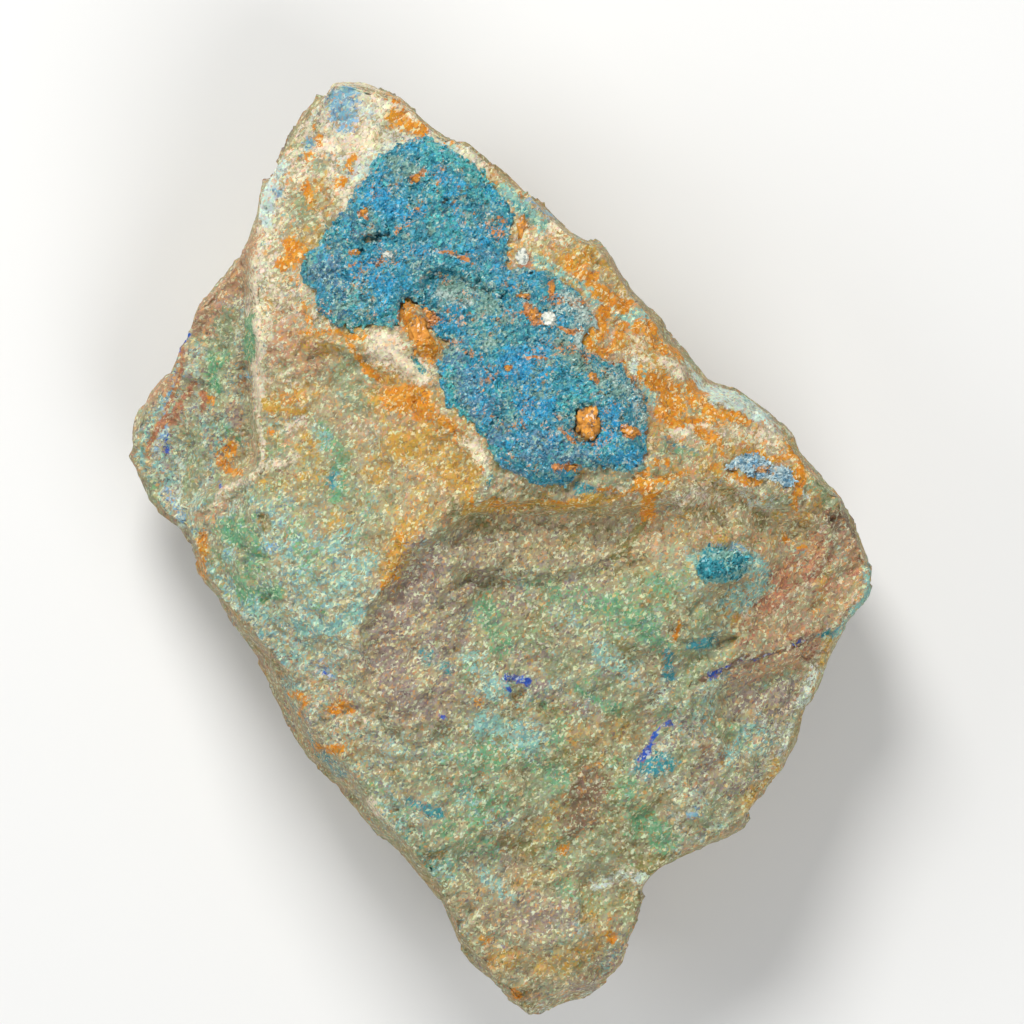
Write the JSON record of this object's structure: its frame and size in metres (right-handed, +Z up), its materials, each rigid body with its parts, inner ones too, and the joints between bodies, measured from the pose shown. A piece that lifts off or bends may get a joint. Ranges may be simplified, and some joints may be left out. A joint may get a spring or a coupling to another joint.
{
  "type": "caledonite specimen on its host rock",
  "caption": "Hand-sized mineral specimen: a broken, rust-stained host rock with a crust of small blue crystals over its upper front face.",
  "frame": {"origin": "middle of the specimen seen from above, on the surface that it rests on", "axes": "+Z up, out of the front face that carries the blue crust; +Y towards the thin upper end; +X towards the right-hand edge of the front face"},
  "size_m": [0.0826, 0.1042, 0.0374],
  "materials": {
    "rock": "rough altered rock, mottled beige, sage green, grey-brown and orange, matt and grainy",
    "blue_crystals": "fine sparkling crust of small crystals, azure to teal blue with orange grains",
    "pale_crystals": "thin pale-blue crystal crust, satin, partly weathered",
    "teal_crystals": "small teal crystal patch, satin with sparkling grains"
  },
  "bodies": {
    "root": {"host_rock": "rock", "caledonite_crust": "blue_crystals", "ledge_crust": "pale_crystals", "side_crust": "teal_crystals"}
  },
  "joints": []
}
